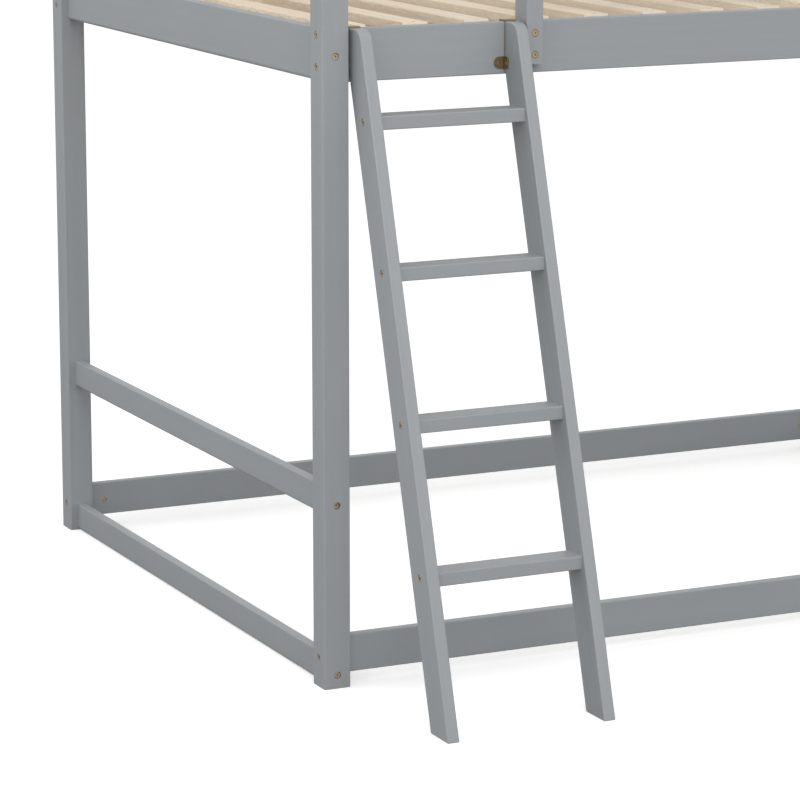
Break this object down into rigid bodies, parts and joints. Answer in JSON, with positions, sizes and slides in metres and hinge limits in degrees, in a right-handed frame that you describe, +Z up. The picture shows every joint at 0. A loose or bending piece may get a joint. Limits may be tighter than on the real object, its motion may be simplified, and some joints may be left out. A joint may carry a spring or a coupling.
{
  "type": "bunk bed",
  "caption": "Low bunk bed of grey painted wood with a slatted upper deck, plank guard rails and a leaning lift-off ladder that hooks over the front rail.",
  "frame": {"origin": "on the floor, at the middle of the whole object's footprint, ladder feet included", "axes": "+X along the bed away from the ladder end, +Y from the ladder side to the back, +Z up"},
  "size_m": [2.03, 1.866, 1.59],
  "materials": {
    "grey_painted_wood": "satin cool grey paint on solid wood",
    "bare_pine": "bare planed pine",
    "antique_brass": "antique brass plating",
    "zinc_steel": "zinc plated steel"
  },
  "bodies": {
    "bed": {"post_front_left": "grey_painted_wood", "post_front_right": "grey_painted_wood", "post_back_left": "grey_painted_wood", "post_back_right": "grey_painted_wood", "lower_rail_front": "grey_painted_wood", "lower_rail_back": "grey_painted_wood", "low_end_rail_left": "grey_painted_wood", "low_end_rail_right": "grey_painted_wood", "mid_end_rail_left": "grey_painted_wood", "mid_end_rail_right": "grey_painted_wood", "upper_rail_front": "grey_painted_wood", "upper_rail_back": "grey_painted_wood", "upper_end_rail_left": "grey_painted_wood", "upper_end_rail_right": "grey_painted_wood", "slat_ledger_front": "bare_pine", "slat_ledger_back": "bare_pine", "centre_beam": "bare_pine", "beam_socket_left": "zinc_steel", "beam_socket_right": "zinc_steel", "slat_01": "bare_pine", "slat_02": "bare_pine", "slat_03": "bare_pine", "slat_04": "bare_pine", "slat_05": "bare_pine", "slat_06": "bare_pine", "slat_07": "bare_pine", "slat_08": "bare_pine", "slat_09": "bare_pine", "slat_10": "bare_pine", "slat_11": "bare_pine", "slat_12": "bare_pine", "slat_13": "bare_pine", "slat_14": "bare_pine", "slat_15": "bare_pine", "guard_post": "grey_painted_wood", "guard_front_low": "grey_painted_wood", "guard_front_high": "grey_painted_wood", "guard_back_low": "grey_painted_wood", "guard_back_high": "grey_painted_wood", "guard_left_low": "grey_painted_wood", "guard_left_high": "grey_painted_wood", "guard_right_low": "grey_painted_wood", "guard_right_high": "grey_painted_wood", "side_rail_bolts": "antique_brass", "end_rail_bolts": "antique_brass", "guard_bolts": "antique_brass", "barrel_nuts": "antique_brass", "frame_screws": "zinc_steel", "slat_screws": "zinc_steel"},
    "ladder": {"ladder_stile_left": "grey_painted_wood", "ladder_stile_right": "grey_painted_wood", "ladder_rung_1": "grey_painted_wood", "ladder_rung_2": "grey_painted_wood", "ladder_rung_3": "grey_painted_wood", "ladder_rung_4": "grey_painted_wood", "ladder_hook_left": "antique_brass", "ladder_hook_right": "antique_brass", "rung_bolts": "antique_brass", "hook_screws": "antique_brass"}
  },
  "joints": [
    {"name": "ladder_lift", "type": "slide", "parent": "bed", "child": "ladder", "axis": [0, 0, 1], "range_m": [0, 0.06]}
  ]
}
